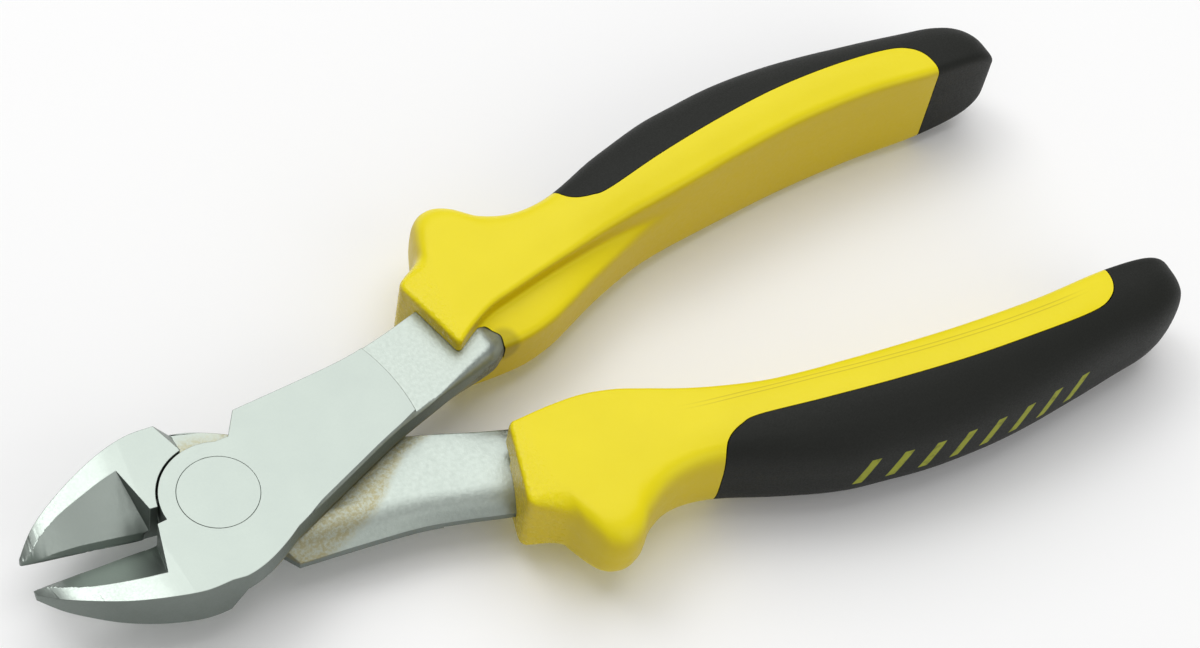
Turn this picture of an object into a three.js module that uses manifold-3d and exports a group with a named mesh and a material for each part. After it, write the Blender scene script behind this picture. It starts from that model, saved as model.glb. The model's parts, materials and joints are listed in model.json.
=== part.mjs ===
// Heavy-duty diagonal cutting pliers, 200 mm class, with a lap joint and two-material grips.
//
// Frame: the origin is the centre of the rivet's back face. +X runs along the centreline towards the
// handle ends, +Z along the pivot axis and out of the front face, +Y to the left. Millimetres.
//
// Both halves are drawn in one half frame: the jaw on the -Y side with its cutting edge along -X,
// and the handle on the +Y side. The front half turns from there by half the jaw opening, and the
// back half is mirrored in Y first.

import * as THREE from "three";
import { ConvexGeometry } from "three/addons/geometries/ConvexGeometry.js";
import { mergeVertices } from "three/addons/utils/BufferGeometryUtils.js";
import Module from "manifold-3d";

const wasm = await Module();
wasm.setup();

// ---------------------------------------------------------------- driving dimensions
const HEAD_THICKNESS = 9.0;
const FACE = HEAD_THICKNESS / 2; // height of each ground face over the lap plane
const GAP = 0.3; // running gap between neighbouring pieces
const JAW_OPENING = 8.7; // degrees between the cutting edges at rest
const LEAN = 0.015; // how far one tang leans out and the other in, mm per mm
const LEAN_START = 40; // the lean starts here, just before the grips

const RIVET_RADIUS = 6.35;
const DISC_RADIUS = 9.3; // round end of each lap
const TIP_X = -31.5;
const EDGE_END_X = -12.2; // inner end of the cutting edge
const SLOT_DEPTH = 0.6; // clearance slot between cutting edge and disc
const HEEL = [-5.5, -14.8]; // back corner of the jaw
const ROOT_START = 11; // the tang's own section starts here
const LAP_STATIONS = [9.3, 12.3, 16.3, 20.3, 24.3, 28.3, 32.3, 36.3];
const LAYER_TOP = 3.1; // height of the layer it takes over, over the lap plane
const TANG_DROOP = 2.2; // the front tang's inner edge is thicker by this much at the grip
const STEP_FOOT = [6.2, 8.3]; // the step that stops the jaws when fully open
const STEP_CORNER = [9.2, 12.3];
const FORGED_FACE = 4.2; // the tang's skin lies just under the ground face
const GROUND_RADIUS = 34.6; // the ground face ends on this circle
const GROUND_CENTRE = [0.4, 2.2];

const GRIP_START = 42; // before the mouth is cut
const GRIP_END = 169.4;
const END_ROUNDING = 12; // length of the domed end
const GRIP_AXIS_Y = 16.3; // the domed end closes on this line
const MOUTH = [46.8, 4.7]; // a point on the grip's slanted mouth, in plan
const MOUTH_SLANT = 11; // degrees
const SLEEVE_WALL = 2.6; // depth of the soft overmould
const NOTCH_END = 55.4; // the sleeve is open on its inner side up to here
const NOTCH_HEIGHTS = [-1.9, 3.9]; // over the lap plane, on the side of the half's own lap
const TANG_END = 148;
const FRONT_SHORTER = 2.4; // the front grip and its seam end this much sooner

// Each row is [x, value], along the half frame's X. First the side view of the jaws.
const NOSE_FRONT = [[TIP_X, 0.4], [-30, 1.3], [-27.5, 2.3], [-24.5, 2.95], [-20, 3.6], [-15, 4.3], [-11.5, FACE]];
const NOSE_BACK = [[TIP_X, -1.1], [-26.5, -2.1], [-22, -3.1], [-17, -3.7], [-11, -4.1], [-7, -FACE]];
const EDGE_HEIGHT = [[TIP_X, 0.1], [-28, -0.5], [-24, -1.1], [-18, -2.1], [EDGE_END_X, -3.2]];
const RECESS_LINE = [[TIP_X, -0.2], [-29.6, -1.2], [-27.6, -2.8], [-25.2, -4.4], [-22.5, -5.7], [-19.5, -6.9],
  [-16.5, -8], [-13.5, -8.9]]; // outer border of the recess, in plan
const TANG_INNER = [[8, -11.2], [19.3, -7.1], [30.8, -3.1], [41.8, -0.3], [50, 1.5], [53, 2.3], [55, 3.5],
  [58, 4.9], [66, 6.6], [74, 9.2], [82, 11.6], [92, 14.4], [104, 16.8], [TANG_END, 17.5]];
const TANG_OUTER = [[9.2, 12.3], [21.5, 12.4], [30, 12.7], [37.2, 13.8], [46, 15.5], [58, 16.5], [72, 17],
  [82, 17.4], [92, 19.8], [104, 22.8], [TANG_END, 22.5]];
const TANG_FACE = [[52, FORGED_FACE], [57, 2], [62, 1.2], [TANG_END, 1.2]]; // thinner once inside the grip
// The tang's other side runs out level from the lap, and is crowned where it enters the grip.
// Rows are [share of the width from the inner edge, height over the lap plane].
const ROOT_CROWN = [[0, 0.15], [0.12, 0.15], [0.3, 0.15], [0.5, 0.15], [0.72, 0.2], [0.88, 1.2], [1, 3]];
const GRIP_CROWN = [[0, 1.1], [0.12, 0.5], [0.3, 0], [0.5, -0.3], [0.72, 0.1], [0.88, 1.2], [1, 3]];
const GRIP_INNER = [[42, 3.8], [47, 5], [51, 7.2], [55.5, 9], [60, 9.8], [69, 11.2], [82, 12.6], [98, 13.2],
  [110, 14], [124, 14.5], [140, 14], [155, 12.4], [171, 11.8]];
const GRIP_INNER_HALF = [[42, 7], [76, 7.2], [98, 9.2], [124, 10.3], [150, 9.8], [171, 8]];
// Away from its own lap the inner side keeps close to the tang.
const GRIP_FAR_INNER = [[42, 4.8], [48, 4.3], [54, 3.6], [60, 3.4], [65.5, 4.3], [70, 5.8], [76, 8], [83, 10.2],
  [90, 12], [98, 13.1], [110, 14], [124, 14.5], [140, 14], [155, 12.4], [171, 11.8]];
const RIDGE_Y = [[45, 11], [60, 15], [76, 17.6], [84, 18.6], [96, 20], [109, 21.2], [123, 21.8], [137, 21.4],
  [150, 20], [160, 18.6], [171, 18]];
const RIDGE_HALF = [[45, 7.2], [62, 7.5], [73, 8.2], [84, 9.8], [96, 11], [109, 11.8], [123, 12.2], [137, 12],
  [150, 10.9], [160, 9.6], [171, 8.4]];
const GRIP_OUTER = [[42, 16.6], [45, 18], [48.2, 20.4], [50.3, 22.8], [51.8, 26.4], [53.8, 29.6], [56.8, 30.8],
  [60, 29.6], [63.2, 26.3], [67.4, 23.7], [72, 22.8], [77.5, 23.4], [88, 26.8], [98, 29.5], [106, 30.3], [116, 30.8], [130, 29.9],
  [145, 27.3], [155, 25.3], [162, 24.2], [171, 23]];
// The front grip bulges out by this much more.
const FRONT_WIDER = [[46, 0], [51, 1.6], [84, 1.6], [96, 0.9], [112, 0.7], [130, 0.2], [140, 0]];
const GRIP_OUTER_HALF = [[42, 6.9], [62, 6.8], [76, 7], [100, 7.6], [130, 7.6], [155, 7], [171, 6]];
// The seam between the two grip materials, seen from the front.
const SEAM = [[76.9, 26], [77.6, 22.2], [79, 20.2], [81.6, 19], [85, 18.6], [96, 20], [109, 21.2], [123, 21.8],
  [137, 21.4], [147.6, 20.4], [152, 18.8], [154.2, 16], [154.6, 12], [154.4, 6]];

const STEEL = new THREE.MeshStandardMaterial({ color: 0xc9d1cb, roughness: 0.38, metalness: 1 });
const YELLOW = new THREE.MeshStandardMaterial({ color: 0xe8d936, roughness: 0.42, metalness: 0 });
const BLACK = new THREE.MeshStandardMaterial({ color: 0x2c2e2b, roughness: 0.8, metalness: 0 });

// ---------------------------------------------------------------- small tools
const degrees = THREE.MathUtils.degToRad;
const leanAt = (x, lean) => lean * Math.max(0, x - LEAN_START);
const endShift = (x, side) => (side > 0 ? FRONT_SHORTER * THREE.MathUtils.smoothstep(x, 105, 140) : 0);

// Smooth value of a [x, value] table at x.
function along(table, x) {
  const last = table.length - 1;
  if (x <= table[0][0]) return table[0][1];
  if (x >= table[last][0]) return table[last][1];
  const i = table.findIndex((row) => row[0] > x) - 1;
  const slope = (k) => {
    const a = table[Math.max(0, k - 1)];
    const b = table[Math.min(last, k + 1)];
    return (b[1] - a[1]) / (b[0] - a[0]);
  };
  const span = table[i + 1][0] - table[i][0];
  const t = (x - table[i][0]) / span;
  const rise = table[i + 1][1] - table[i][1];
  const m0 = slope(i) * span;
  const m1 = slope(i + 1) * span;
  return table[i][1] + m0 * t + (3 * rise - 2 * m0 - m1) * t * t + (m0 + m1 - 2 * rise) * t * t * t;
}

function steps(from, to, count) {
  return Array.from({ length: count + 1 }, (_, i) => from + ((to - from) * i) / count);
}

// A closed three.js geometry as a manifold solid.
function solid(geometry) {
  const bare = geometry.clone();
  bare.deleteAttribute("normal");
  bare.deleteAttribute("uv");
  const merged = mergeVertices(bare, 1e-4);
  return new wasm.Manifold(
    new wasm.Mesh({
      numProp: 3,
      vertProperties: merged.attributes.position.array,
      triVerts: new Uint32Array(merged.index.array),
    }),
  );
}

function geometryOf(made) {
  const mesh = made.getMesh();
  return new THREE.BufferGeometry()
    .setAttribute("position", new THREE.BufferAttribute(new Float32Array(mesh.vertProperties), 3))
    .setIndex(new THREE.BufferAttribute(new Uint32Array(mesh.triVerts), 1));
}

function prism(shape, z0, z1, curveSegments = 6) {
  const depth = Math.abs(z1 - z0);
  const geometry = new THREE.ExtrudeGeometry(shape, { depth, bevelEnabled: false, curveSegments });
  return solid(geometry.translate(0, 0, Math.min(z0, z1)));
}

function polygon(points) {
  return new THREE.Shape(points.map(([x, y]) => new THREE.Vector2(x, y)));
}

function bar(width, depth, height, centre) {
  return solid(new THREE.BoxGeometry(width, depth, height).translate(...centre));
}

function drum(radius, z0, z1, centre = [0, 0], sides = 72) {
  const geometry = new THREE.CylinderGeometry(radius, radius, Math.abs(z1 - z0), sides);
  return solid(geometry.rotateX(Math.PI / 2).translate(centre[0], centre[1], (z0 + z1) / 2));
}

// A closed body through sections of [x, y, z] points, each with the same number of points.
function loft(sections) {
  const ring = sections[0].length;
  const positions = sections.flat().flat();
  const index = [];
  for (let s = 0; s < sections.length - 1; s++)
    for (let i = 0; i < ring; i++) {
      const a = s * ring + i;
      const b = s * ring + ((i + 1) % ring);
      index.push(a, b, b + ring, a, b + ring, a + ring);
    }
  for (const [first, flip] of [[0, true], [(sections.length - 1) * ring, false]]) {
    const face = sections[first / ring].map(([, y, z]) => new THREE.Vector2(y, z));
    for (const [a, b, c] of THREE.ShapeUtils.triangulateShape(face, []))
      index.push(first + a, first + (flip ? c : b), first + (flip ? b : c));
  }
  const geometry = new THREE.BufferGeometry();
  geometry.setAttribute("position", new THREE.Float32BufferAttribute(positions, 3));
  geometry.setIndex(index);
  return solid(geometry);
}

// ---------------------------------------------------------------- forged halves
function jawOuter(shape) {
  const curve = [[-10, -14.5], [-15, -12.9], [-20, -10.5], [-24.5, -7.7], [-28.5, -4.6], [TIP_X, -1.1]];
  shape.splineThru(curve.map(([x, y]) => new THREE.Vector2(x, y)));
}

// Plan of the lap that lies over the other half: round end, step and the root of the tang.
function lapPlan() {
  const shape = new THREE.Shape();
  const slotAngle = Math.PI + Math.asin(SLOT_DEPTH / DISC_RADIUS);
  shape.moveTo(EDGE_END_X + 1.7, -SLOT_DEPTH);
  shape.lineTo(-DISC_RADIUS * Math.cos(slotAngle - Math.PI), -SLOT_DEPTH);
  shape.absarc(0, 0, DISC_RADIUS, slotAngle, degrees(65), true);
  shape.lineTo(...STEP_FOOT);
  shape.lineTo(...STEP_CORNER);
  for (const x of LAP_STATIONS) shape.lineTo(x, along(TANG_OUTER, x));
  for (const x of [...LAP_STATIONS].reverse()) shape.lineTo(x, along(TANG_INNER, x));
  shape.lineTo(8, along(TANG_INNER, 8));
  shape.quadraticCurveTo(1.2, -15.2, -3.4, -15.2);
  shape.lineTo(...HEEL);
  shape.lineTo(-12, -8); // inside the jaw
  shape.closePath();
  return shape;
}

// Plan of the jaw, which ends on the other half's round lap.
function jawPlan() {
  const shape = new THREE.Shape();
  const radius = DISC_RADIUS + GAP;
  const slotAngle = Math.PI + Math.asin(SLOT_DEPTH / radius);
  shape.moveTo(TIP_X, 0);
  shape.lineTo(EDGE_END_X, 0);
  shape.lineTo(EDGE_END_X + 0.5, -SLOT_DEPTH);
  shape.lineTo(-radius * Math.cos(slotAngle - Math.PI), -SLOT_DEPTH);
  shape.absarc(0, 0, radius, slotAngle, degrees(252), false);
  shape.lineTo(...HEEL);
  jawOuter(shape);
  shape.closePath();
  return shape;
}

// The recess in the front of a jaw: a steep narrow bevel at the edge, then a wide twisted bevel.
function recess() {
  const sections = [TIP_X - 3, ...steps(TIP_X, -9, 9)].map((x) => {
    const edge = along(EDGE_HEIGHT, x);
    const narrow = THREE.MathUtils.lerp(0.4, 1, THREE.MathUtils.smoothstep(x, TIP_X, -21));
    const fold = [-0.65 * narrow, edge + 1.2 * narrow];
    const line = Math.min(along(RECESS_LINE, x), fold[0] - 0.1);
    const surface = Math.max(along(NOSE_FRONT, x), fold[1] + 0.1);
    const top = FACE + 1;
    const reach = line + ((line - fold[0]) * (top - surface)) / (surface - fold[1]);
    return [[x, 2, edge], [x, 2, top], [x, reach, top], [x, ...fold], [x, 0, edge]];
  });
  const wall = polygon([[-60, 4], [-60, -60], [0, -60], [-13.5, -8.9], [-10.9, -SLOT_DEPTH], [-9, 4]]);
  return loft(sections).intersect(prism(wall, -FACE, FACE + 2));
}

// The bevel behind the cutting edge.
function backBevel() {
  return loft(
    [TIP_X - 3, ...steps(TIP_X, EDGE_END_X + 0.6, 5)].map((x) => {
      const edge = along(EDGE_HEIGHT, x);
      return [[x, -2.6, edge - 4], [x, 3, edge - 4], [x, 3, edge + 0.3], [x, 0.2, edge + 0.3]];
    }),
  );
}

// Both faces fall away towards the tips. Everything beyond the profile is cut, out to the far height.
function noseRelief(profile, far) {
  const [first, last] = [profile[0][0], profile[profile.length - 1][0]];
  const curve = steps(first, last, 14).map((x) => [x, along(profile, x)]);
  const shape = polygon([[last, far], [first - 5, far], [first - 5, profile[0][1]], ...curve]);
  const geometry = new THREE.ExtrudeGeometry(shape, { depth: 60, bevelEnabled: false });
  return solid(geometry.rotateX(Math.PI / 2).translate(0, 30, 0));
}

// D-shaped tang: flat where it is ground, crowned on the other side. The side is 1 in front, -1 at the back.
function tang(side, lean, grow) {
  const stations = [...LAP_STATIONS, 40, 43, 46, 49, 51, 53, 55, 58, 62, ...steps(66, TANG_END + grow, 9)];
  return loft(
    stations.map((x) => {
      const inner = along(TANG_INNER, x) + leanAt(x, lean) - grow;
      const outer = along(TANG_OUTER, x) + leanAt(x, lean) + grow;
      const flat = along(TANG_FACE, x);
      const drooping = THREE.MathUtils.smoothstep(x, 40, 52) * (1 - THREE.MathUtils.smoothstep(x, 58, 66));
      const droop = side > 0 ? TANG_DROOP * drooping : 0;
      const crown = ROOT_CROWN.map(([share, root], i) => {
        const z = THREE.MathUtils.lerp(root, GRIP_CROWN[i][1], THREE.MathUtils.smoothstep(x, 36, 50));
        const low = Math.min(z, flat - 1.2) - droop * Math.pow(Math.max(0, 1 - share / 0.35), 2);
        return [x, inner + share * (outer - inner), low - grow];
      });
      const section = [...crown, [x, outer, flat + grow], [x, inner, flat + grow]];
      const turned = section.map(([px, y, z]) => [px, y, side * z]);
      return side > 0 ? turned : turned.reverse();
    }),
  );
}

// The lap slopes off to its outer edge like the tang does.
function outerSlope(side) {
  return loft(
    [7, 8, ...LAP_STATIONS.slice(0, 3)].map((x) => {
      const inner = along(TANG_INNER, x);
      const width = along(TANG_OUTER, x) - inner;
      const slope = ROOT_CROWN.slice(4).map(([share, z]) => [x, inner + share * width, z]);
      const section = [[x, inner + ROOT_CROWN[4][0] * width, -1], [x, inner + 1.1 * width, -1],
        [x, inner + 1.1 * width, 4.4], ...slope.reverse()];
      const turned = section.map(([px, y, z]) => [px, y, side * z]);
      return side > 0 ? turned : turned.reverse();
    }),
  );
}

// The lap's layer beside the other half ends where the tang takes over.
function beyondLap(side) {
  const [length, width] = [40, 60];
  const centre = [ROOT_START + length / 2, 0, (side * (LAYER_TOP - FACE)) / 2];
  return bar(length, width, LAYER_TOP + FACE, centre);
}

// The outer corner of the heel slopes from the far face down to the lap.
function heelSlope(side) {
  const [x, y] = HEEL;
  const low = [[x - 3, y + 3], [x, y], [x + 2.5, y + 5.5]];
  const high = [[x - 3, y + 3], [x, y], [x + 2.1, y - 0.4], [x + 3, y + 5]];
  const points = [
    ...low.map(([px, py]) => new THREE.Vector3(px, py, side * -FACE)),
    ...high.map(([px, py]) => new THREE.Vector3(px, py, side * 0.6)),
  ];
  return solid(new ConvexGeometry(points)).subtract(drum(DISC_RADIUS + GAP, -FACE - 1, FACE + 1));
}

function forgedHalf(side, lean) {
  const lap = prism(lapPlan(), side * (GAP / 2), side * FACE);
  const ground = drum(GROUND_RADIUS, side * FORGED_FACE, side * (FACE + 1), GROUND_CENTRE, 96);
  const aroundGround = bar(130, 130, 2, [0, 0, side * (FORGED_FACE + 1)]).subtract(ground);
  return lap
    .subtract(aroundGround)
    .subtract(outerSlope(side))
    .subtract(beyondLap(side))
    .add(tang(side, lean, 0))
    .add(prism(jawPlan(), -FACE, FACE, 4))
    .add(heelSlope(side))
    .subtract(recess())
    .subtract(backBevel())
    .subtract(noseRelief(NOSE_FRONT, FACE + 3))
    .subtract(noseRelief(NOSE_BACK, -FACE - 3))
    .subtract(drum(RIVET_RADIUS + GAP / 2, -FACE - 1, FACE + 1));
}

// ---------------------------------------------------------------- grips
// One section of the grip at x, pulled in by inset, as corners with the length of their rounding.
function gripCorners(x, inset, side) {
  const inner = along(GRIP_INNER, x) + inset;
  const far = Math.min(along(GRIP_FAR_INNER, x) + inset, inner - 0.05);
  const innerHalf = along(GRIP_INNER_HALF, x) - inset;
  const ridge = [along(RIDGE_Y, x), along(RIDGE_HALF, x) - inset];
  const wider = side > 0 ? along(FRONT_WIDER, x) : 0;
  const outer = [along(GRIP_OUTER, x) + wider - inset, along(GRIP_OUTER_HALF, x) - inset];
  const soft = THREE.MathUtils.smoothstep(x, 66, 92); // from the crisp collar to the rounded grip
  const outerRounding = 1.2 + 4.6 * THREE.MathUtils.smoothstep(x, 46.5, 52);
  const corners = [
    [far, 2 - inset, 1.4],
    [far, -innerHalf, 1.0 + 0.6 * soft],
    [ridge[0], -ridge[1], 2 + 2 * soft],
    [outer[0], -outer[1], outerRounding],
    [...outer, outerRounding],
    [...ridge, 2 + 2 * soft],
    [inner, innerHalf, 1.0 + 0.6 * soft],
    [inner, 4 - inset, 0.9],
  ];
  return side > 0 ? corners : corners.map(([y, z, rounding]) => [y, -z, rounding]).reverse();
}

function roundedSection(corners, pieces) {
  const count = corners.length;
  return corners.flatMap(([y, z, rounding], i) => {
    const corner = new THREE.Vector2(y, z);
    const ends = [corners[(i + count - 1) % count], corners[(i + 1) % count]].map(([ny, nz]) => {
      const edge = new THREE.Vector2(ny, nz).sub(corner);
      const reach = Math.min(rounding, 0.48 * edge.length());
      return edge.normalize().multiplyScalar(reach).add(corner);
    });
    return new THREE.QuadraticBezierCurve(ends[0], corner, ends[1]).getPoints(pieces);
  });
}

function gripBody(side, lean, inset) {
  const end = GRIP_END - endShift(GRIP_END, side) - inset;
  const dome = end - END_ROUNDING;
  const stations = [GRIP_START, 48, 51.4, 52.4, 53.4, 54.8, 57, 59.5, 62.5, 66, 71, 76, 82, 89, 97, 106, 117, 130, 145,
    dome, dome + 4.5, dome + 8, dome + 10.2, end - 0.7, end - 0.15];
  return loft(
    stations.map((x) => {
      const t = Math.max(0, (x - dome) / END_ROUNDING);
      const share = (power) => Math.pow(1 - Math.pow(t, power), 1 / power);
      const drawn = x + endShift(x, side);
      return roundedSection(gripCorners(drawn, inset, side), inset > 0 ? 1 : 2).map(([y, z]) => [
        x,
        GRIP_AXIS_Y + (y - GRIP_AXIS_Y) * share(y < GRIP_AXIS_Y ? 5 : 2.2) + leanAt(x, lean),
        z * share(3),
      ]);
    }),
  );
}

// Everything on the outer side of the seam, moved out by grow.
function seamRegion(side, lean, grow) {
  const shape = new THREE.Shape();
  const seam = SEAM.map(([x, y]) => new THREE.Vector2(x - endShift(x, side) - grow, y + leanAt(x, lean) - grow));
  shape.moveTo(seam[0].x, 60);
  shape.lineTo(seam[0].x, seam[0].y);
  shape.splineThru(seam.slice(1));
  shape.lineTo(seam[seam.length - 1].x, -30);
  shape.lineTo(220, -30);
  shape.lineTo(220, 60);
  shape.closePath();
  return prism(shape, -20, 20, 2);
}

// The mouth: a slanted front end, open on its inner side so that the tang's edge shows between two tongues.
function mouth(side) {
  const [low, high] = NOTCH_HEIGHTS;
  const half = (high - low) / 2;
  const middle = (side * (low + high)) / 2;
  const ahead = new THREE.BoxGeometry(40, 80, 40).translate(-20, 0, 0);
  const notch = bar(30, 20, 2 * half, [NOTCH_END - half - 15, -1.5, middle]);
  const round = new THREE.CylinderGeometry(half, half, 20, 32).translate(NOTCH_END - half, -1.5, middle);
  return solid(ahead.rotateZ(degrees(MOUTH_SLANT)).translate(...MOUTH, 0))
    .add(notch)
    .add(solid(round));
}

function gripSleeve(side, lean) {
  const core = gripBody(side, lean, SLEEVE_WALL + GAP);
  return gripBody(side, lean, 0)
    .subtract(seamRegion(side, lean, GAP))
    .add(core.intersect(bar(200, 100, 40, [NOTCH_END + 114, 15, 0])))
    .subtract(tang(side, lean, GAP))
    .subtract(mouth(side));
}

function gripOvermould(side, lean) {
  const outside = gripBody(side, lean, 0).intersect(seamRegion(side, lean, 0));
  return outside.subtract(gripBody(side, lean, SLEEVE_WALL));
}

// ---------------------------------------------------------------- assembly
function mesh(name, made, material) {
  const result = new THREE.Mesh(geometryOf(made), material);
  result.name = name;
  return result;
}

const pliers = new THREE.Group();
pliers.position.z = FACE;

// One half with its grip, turned open. The back half is the mirror image with its lap behind.
function half(side, name) {
  const lean = side * LEAN;
  const group = new THREE.Group();
  group.add(mesh(name + "_half", forgedHalf(side, lean), STEEL));
  group.add(mesh(name + "_grip_sleeve", gripSleeve(side, lean), YELLOW));
  group.add(mesh(name + "_grip_overmould", gripOvermould(side, lean), BLACK));
  group.scale.y = side;
  group.rotation.z = side * degrees(JAW_OPENING / 2);
  return group;
}

pliers.add(half(1, "front"));
pliers.add(half(-1, "back"));
pliers.add(mesh("pivot_rivet", drum(RIVET_RADIUS - GAP / 2, -FACE, FACE), STEEL));

export default pliers;
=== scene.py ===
"""Looks of the diagonal cutting pliers: smooth grips, a flush rivet and worn satin steel.

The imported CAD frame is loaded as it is. The forged halves, the grips and the rivet are rebuilt here
at a finer resolution and replace their CAD nodes. Shapes are worked out in millimetres in the half
frame of the CAD source: jaw along -X with its cutting edge on y = 0, handle on the +Y side. place()
turns them into the part's frame in metres.
"""

import json
import math
from functools import cache

import bmesh
import bpy
import numpy as np
from mathutils import Matrix, Quaternion, Vector

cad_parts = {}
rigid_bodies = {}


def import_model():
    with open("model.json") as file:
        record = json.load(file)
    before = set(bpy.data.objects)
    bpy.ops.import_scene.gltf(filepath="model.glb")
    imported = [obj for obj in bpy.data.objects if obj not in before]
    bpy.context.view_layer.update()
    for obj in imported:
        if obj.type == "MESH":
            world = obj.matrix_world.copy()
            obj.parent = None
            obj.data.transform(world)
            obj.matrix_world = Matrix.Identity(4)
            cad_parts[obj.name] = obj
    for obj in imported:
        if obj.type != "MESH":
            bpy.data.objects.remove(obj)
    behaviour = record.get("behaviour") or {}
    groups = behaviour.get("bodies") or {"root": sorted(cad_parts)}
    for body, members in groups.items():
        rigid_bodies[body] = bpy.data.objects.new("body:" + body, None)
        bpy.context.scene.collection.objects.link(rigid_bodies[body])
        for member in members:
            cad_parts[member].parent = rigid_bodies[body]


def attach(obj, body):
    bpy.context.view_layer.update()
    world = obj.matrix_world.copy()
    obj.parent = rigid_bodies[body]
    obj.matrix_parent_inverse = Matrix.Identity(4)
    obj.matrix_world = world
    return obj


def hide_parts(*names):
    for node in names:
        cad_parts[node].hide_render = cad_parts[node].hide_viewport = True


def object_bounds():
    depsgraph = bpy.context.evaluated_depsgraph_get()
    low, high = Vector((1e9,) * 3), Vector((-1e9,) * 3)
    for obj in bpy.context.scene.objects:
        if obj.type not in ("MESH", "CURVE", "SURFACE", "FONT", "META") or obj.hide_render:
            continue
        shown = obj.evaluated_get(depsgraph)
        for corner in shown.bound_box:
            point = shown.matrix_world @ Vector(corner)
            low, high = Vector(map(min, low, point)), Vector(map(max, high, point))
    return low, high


MM = 0.001

# ---------------------------------------------------------------- dimensions, in millimetres
FACE = 4.5  # height of the head's faces over the lap plane
JAW_OPENING = 8.7  # degrees between the cutting edges at rest
LEAN = 0.015  # how far one tang leans out and the other in, mm per mm
LEAN_START = 40
GAP = 0.3  # between the two laps
RIVET_RADIUS = 6.485
RIVET_RIM = 0.04  # the rivet's ends are bevelled by this much
HOLE_RADIUS = 6.5
DISC_RADIUS = 9.3  # round end of each lap
TIP_X = -31.5
EDGE_END_X = -12.2  # inner end of the cutting edge
SLOT_DEPTH = 0.6  # clearance slot between the cutting edge and the round lap
HEEL = (-5.5, -14.8)  # back corner of the jaw
HEEL_CURVE = ((1.2, -15.2), (-3.4, -15.2))  # the lap's outline bends round the first to reach the second
STEP_FOOT = (6.2, 8.3)  # the step beside the round lap
STEP_CORNER = (9.2, 12.3)
LAP_STATIONS = [STEP_CORNER[0], *[DISC_RADIUS + i for i in range(1, 28)]]
TANG_STATIONS = [*LAP_STATIONS, *np.arange(37.3, 64, 1.0)]  # up to where the tang is hidden in the grip
ROOT_START = 9.25  # the tang takes over from the lap's inner layer here
LAYER_TOP = 3.1  # height of that layer over the lap plane
FORGED_FACE = 4.2  # height of the unground face beyond the arc of the grinding
GROUND_RADIUS = 34.6
GROUND_CENTRE = (0.4, 2.2)
TANG_END = 148
TANG_DROOP = 2.2  # the front tang's inner edge is thicker by this much at the grip
WORN_EDGE = 0.45  # the inner edge of lap and tang is worn off by this much
EDGE_BEVEL = 0.12
BEVEL_FROM = 22  # degrees: edges that turn by more than this are bevelled
WELD_WITHIN = 0.04
FLAT_WITHIN = 0.15  # degrees: neighbouring faces closer than this become one
FACE_WEIGHT = 55  # how far larger faces decide the shading of their corners

GRIP_START = 46.8
GRIP_END = 169.4
FRONT_SHORTER = 2.4  # the front grip and its seam end this much sooner
END_ROUNDING = 12  # length of the domed end
GRIP_AXIS_Y = 16.3  # the domed end closes on this line
MOUTH_Y = 4.7  # the slanted mouth crosses GRIP_START here
MOUTH_SLANT = math.tan(math.radians(11))
MOUTH_BLEND = 4  # the slant of the mouth is gone this far along
LIP = 0.9  # rounding of the mouth's rim
NOTCH_END = 55.4  # the sleeve is open on its inner side up to here
NOTCH_LOW, NOTCH_HIGH = -1.9, 3.9
SEAM_GAP = 0.14
BORE_GAP = 0.12
SLEEVE_WALL = 2.6  # depth of the soft overmould

# Rows are [x, value] along the half frame's X, as in the CAD source.
NOSE_FRONT = [[TIP_X, 0.4], [-30, 1.3], [-27.5, 2.3], [-24.5, 2.95], [-20, 3.6], [-15, 4.3], [-11.5, FACE]]
NOSE_BACK = [[TIP_X, -1.1], [-26.5, -2.1], [-22, -3.1], [-17, -3.7], [-11, -4.1], [-7, -FACE]]
JAW_OUTER = [HEEL, [-10, -14.5], [-15, -12.9], [-20, -10.5], [-24.5, -7.7], [-28.5, -4.6], [TIP_X, -1.1]]
EDGE_HEIGHT = [[TIP_X, 0.1], [-28, -0.5], [-24, -1.1], [-18, -2.1], [EDGE_END_X, -3.2]]
RECESS_LINE = [[TIP_X, -0.2], [-29.6, -1.2], [-27.6, -2.8], [-25.2, -4.4], [-22.5, -5.7], [-19.5, -6.9],
               [-16.5, -8], [-13.5, -8.9]]
TANG_INNER = [[8, -11.2], [19.3, -7.1], [30.8, -3.1], [41.8, -0.3], [50, 1.5], [53, 2.3], [55, 3.5],
              [58, 4.9], [66, 6.6], [74, 9.2], [82, 11.6], [92, 14.4], [104, 16.8], [TANG_END, 17.5]]
TANG_OUTER = [[9.2, 12.3], [21.5, 12.4], [30, 12.7], [37.2, 13.8], [46, 15.5], [58, 16.5], [72, 17],
              [82, 17.4], [92, 19.8], [104, 22.8], [TANG_END, 22.5]]
TANG_FACE = [[52, FORGED_FACE], [57, 2], [62, 1.2], [TANG_END, 1.2]]
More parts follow.
